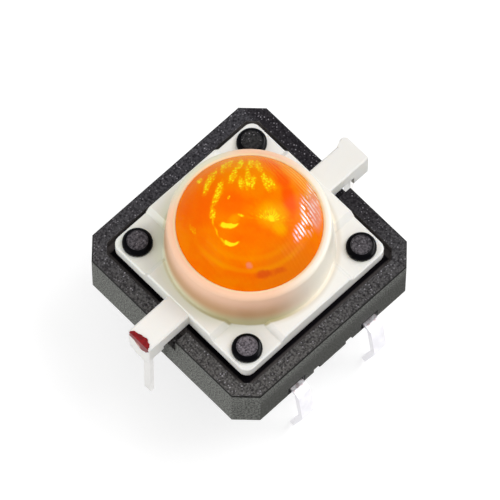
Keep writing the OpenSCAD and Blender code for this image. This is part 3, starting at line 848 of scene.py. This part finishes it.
dress("base", makeBlackNylon(blackNylon))
dress("button_holder", makeWhiteNylon(whiteNylon))
stripMetal = makeTinPlate(tinPlate, "tinStrip", **tinStrip)
leadMetal = makeTinPlate(tinPlate, "tinLead", **tinLead)
for name in ("centre_contact", "outer_contact"):
    dress(name, stripMetal)
for name in ("lamp_anode", "lamp_cathode"):
    dress(name, leadMetal)
for name, finish in innerPieces["finishes"].items():
    dress(name, makeInnerFinish(innerPieces, *finish))
print("materials made")


def newPiece(name, mesh, material):
    data = bpy.data.meshes.new(name)
    mesh.to_mesh(data)
    mesh.free()
    data.materials.append(material)
    piece = bpy.data.objects.new(name, data)
    bpy.context.scene.collection.objects.link(piece)
    return piece


# Lens: a cut sphere on a round body
lens = {
    "segments": 144,
    "rings": 96,
    "domeHeight": 2.25 * mm,
    "seatGap": 0.01 * mm,
    "spread": 0.018 * mm,  # takes its wall out to the collar's bore
}


def makeLens(settings):
    height = settings["domeHeight"]
    lensRadius = (lensHigh.x - lensLow.x) / 2 + settings["spread"]
    collarTop = lensHigh.z - height
    sphereRadius = (lensRadius ** 2 + height ** 2) / (2 * height)
    mesh = bmesh.new()
    bmesh.ops.create_uvsphere(mesh, u_segments=settings["segments"], v_segments=settings["rings"],
                              radius=sphereRadius)
    bmesh.ops.translate(mesh, verts=mesh.verts, vec=(0, 0, lensHigh.z - sphereRadius))
    everything = mesh.verts[:] + mesh.edges[:] + mesh.faces[:]
    bmesh.ops.bisect_plane(mesh, geom=everything, plane_co=(0, 0, collarTop), plane_no=(0, 0, -1),
                           clear_outer=True)
    rim = [edge for edge in mesh.edges if edge.is_boundary]
    made = bmesh.ops.extrude_edge_only(mesh, edges=rim)
    lowered = [item for item in made["geom"] if isinstance(item, bmesh.types.BMVert)]
    for vert in lowered:
        vert.co.z = lensLow.z + settings["seatGap"]
    bottom = [edge for edge in mesh.edges if edge.is_boundary]
    bmesh.ops.edgeloop_fill(mesh, edges=bottom)
    bmesh.ops.recalc_face_normals(mesh, faces=mesh.faces)
    for face in mesh.faces:
        face.smooth = len(face.verts) <= 4  # all but the bottom
    piece = newPiece("lampLens", mesh, makeAmberEpoxy(amberEpoxy))
    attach(piece, "button")
    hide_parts("lamp_lens")


makeLens(lens)
print("lens made")


# Red paint: a ragged dabbed stroke over the upper edge of the marked arm's end, thin at one place
redPaint = {
    "surface": {"Roughness": 0.4, "Specular IOR Level": 0.2},
    "thick": (0.285, 0.003, 0.006),
    "dark": (0.165, 0.002, 0.004),
    "thin": (0.58, 0.34, 0.29),
    "thinSpot": {"centre": (-0.15, -0.64), "radii": (0.34, 0.27), "full": 0.5},
    "thinShares": (0.35, 1.0),
    "streaks": {"scale": 5.0, "low": 0.35, "high": 0.65},
    "bump": (0.3, 0.02 * mm),
    "across": 36,
    "along": 30,
    "cornerRow": 10,  # the row that lies on the arm's edge
    "cover": 0.99,  # share of the arm's width
    # Millimetres over the top and down the end, at shares of the arm's width from its middle
    "reachTop": [(-0.5, 0.06), (-0.4, 0.17), (-0.07, 0.30), (0.19, 0.34), (0.38, 0.25), (0.5, 0.08)],
    "reachDown": [(-0.5, 0.45), (-0.28, 0.48), (-0.07, 0.74), (0.19, 0.78), (0.38, 0.62), (0.5, 0.34)],
    "shell": 0.02 * mm,
    "lift": 0.004 * mm,
    "depth": 0.03 * mm,  # of the solid that it replaces
    "raggedness": 0.07 * mm,
    # Scales and places in the noise that makes the ends and the two sides ragged
    "endRag": {"across": 5.0, "along": 1.2, "slice": 3.7},
    "sideRag": {"along": 6.0, "left": 2.3, "right": 9.1, "slice": 0.4},
}


def makeRedPaint(look):
    material, tree, shader = newMaterial("redPaint", look["surface"])
    place = objectPlace(tree)[0]
    axes = split(tree, place)
    armTop = (markHigh.z - look["depth"]) * perMm
    endFace = addNode(tree, "ShaderNodeCombineXYZ")
    plug(tree, axes["X"], endFace.inputs["X"])
    plug(tree, calc(tree, "SUBTRACT", axes["Z"], armTop), endFace.inputs["Y"])
    streaky = mottle(tree, place, **look["streaks"])
    thinned = spot(tree, endFace.outputs["Vector"], **look["thinSpot"])
    worn = times(tree, thinned, between(tree, streaky, *look["thinShares"]))
    tint = layered(tree, look["dark"], [(streaky, look["thick"]), (worn, look["thin"])])
    plug(tree, tint, shader.inputs["Base Color"])
    plug(tree, bumpFrom(tree, streaky, *look["bump"]), shader.inputs["Normal"])
    return material


# Reach at one place across the arm, eased between the listed ones
def reachAt(points, u):
    for (uLow, low), (uHigh, high) in zip(points, points[1:]):
        if u <= uHigh:
            share = max(0.0, (u - uLow) / (uHigh - uLow))
            return (low + (high - low) * share * share * (3 - 2 * share)) * mm
    return points[-1][1] * mm


def makePaintStroke(look):
    endY = markLow.y + look["depth"] - look["lift"]
    topZ = markHigh.z - look["depth"] + look["lift"]
    middleX = (markLow.x + markHigh.x) / 2
    span = (markHigh.x - markLow.x) * look["cover"]
    corner = look["cornerRow"] / look["along"]
    ends, sides = look["endRag"], look["sideRag"]
    mesh = bmesh.new()
    bmesh.ops.create_grid(mesh, x_segments=look["across"], y_segments=look["along"], size=0.5)
    for vert in mesh.verts:
        u = vert.co.x
        v = vert.co.y + 0.5
        rag = noise.noise(Vector((u * ends["across"], v * ends["along"], ends["slice"])))
        rag *= look["raggedness"]
        sideSeed = sides["right"] if u > 0 else sides["left"]
        side = noise.noise(Vector((v * sides["along"], sideSeed, sides["slice"])))
        side *= look["raggedness"] * abs(u) * 2
        over = (reachAt(look["reachTop"], u) - rag) * max(0.0, 1 - v / corner)
        down = (reachAt(look["reachDown"], u) + rag) * max(0.0, (v - corner) / (1 - corner))
        vert.co = Vector((middleX + u * span + side, endY + over, topZ - down))
    bmesh.ops.recalc_face_normals(mesh, faces=mesh.faces)
    for face in mesh.faces:
        face.smooth = True
    piece = newPiece("paintStroke", mesh, makeRedPaint(look))
    shell = piece.modifiers.new("shell", "SOLIDIFY")
    shell.thickness = look["shell"]
    shell.offset = 1.0
    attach(piece, "button")
    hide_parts("polarity_mark")


makePaintStroke(redPaint)
print("paint made")


# Floor, world and lamps
studio = {
    "floorSize": 1.2,
    "floorGlow": 0.64,
    "floorSurface": {
        "Base Color": (0.5, 0.5, 0.5, 1.0),
        "Roughness": 0.9,
        "Specular IOR Level": 0.0,
        "Emission Color": (1, 1, 1, 1),
    },
    "worldStrength": 0.76,
    "lampTarget": Vector((0, 0, 4 * mm)),
    "lampDistance": 0.5,
    "lamps": {
        "keyLamp": {"azimuth": 150, "elevation": 55, "size": (0.30, 0.30), "power": 1.15},
        "fillLamp": {"azimuth": -15, "elevation": 16, "size": (0.30, 0.15), "power": 0.85},
        "windowLamp": {"azimuth": 145, "elevation": 16, "size": (0.60, 0.26), "power": 8.0,
                       "glossOnly": True},
    },
}


# Full where the camera, a reflection or clear material looks straight at it
def seenDirectly(tree):
    paths = addNode(tree, "ShaderNodeLightPath")
    rays = [paths.outputs["Is " + kind + " Ray"] for kind in ("Camera", "Glossy", "Transmission")]
    return strongest(tree, rays)


def makeFloor(settings):
    mesh = bmesh.new()
    bmesh.ops.create_grid(mesh, x_segments=1, y_segments=1, size=settings["floorSize"] / 2)
    bmesh.ops.translate(mesh, verts=mesh.verts, vec=(0, 0, cadBox[0][2]))
    material, tree, shader = newMaterial("floorWhite", settings["floorSurface"])
    plug(tree, times(tree, seenDirectly(tree), settings["floorGlow"]), shader.inputs["Emission Strength"])
    newPiece("floor", mesh, material)


def makeWorld(settings):
    world = bpy.data.worlds.new("world")
    bpy.context.scene.world = world
    world.use_nodes = True
    tree = world.node_tree
    tree.nodes.clear()
    output = tree.nodes.new("ShaderNodeOutputWorld")
    background = tree.nodes.new("ShaderNodeBackground")
    strength = between(tree, seenDirectly(tree), settings["worldStrength"], 1.0)
    plug(tree, strength, background.inputs["Strength"])
    plug(tree, background.outputs[0], output.inputs["Surface"])


def makeLamp(settings, name, azimuth, elevation, size, power, glossOnly=False):
    toward = towards(azimuth, elevation)
    data = bpy.data.lights.new(name, "AREA")
    data.shape = "RECTANGLE"
    data.size, data.size_y = size
    data.energy = power
    lamp = bpy.data.objects.new(name, data)
    lamp.location = settings["lampTarget"] + toward * settings["lampDistance"]
    lamp.rotation_euler = toward.to_track_quat("Z", "Y").to_euler()
    lamp.visible_diffuse = not glossOnly
    bpy.context.scene.collection.objects.link(lamp)


makeFloor(studio)
makeWorld(studio)
for name, values in studio["lamps"].items():
    makeLamp(studio, name, **values)
print("studio made")
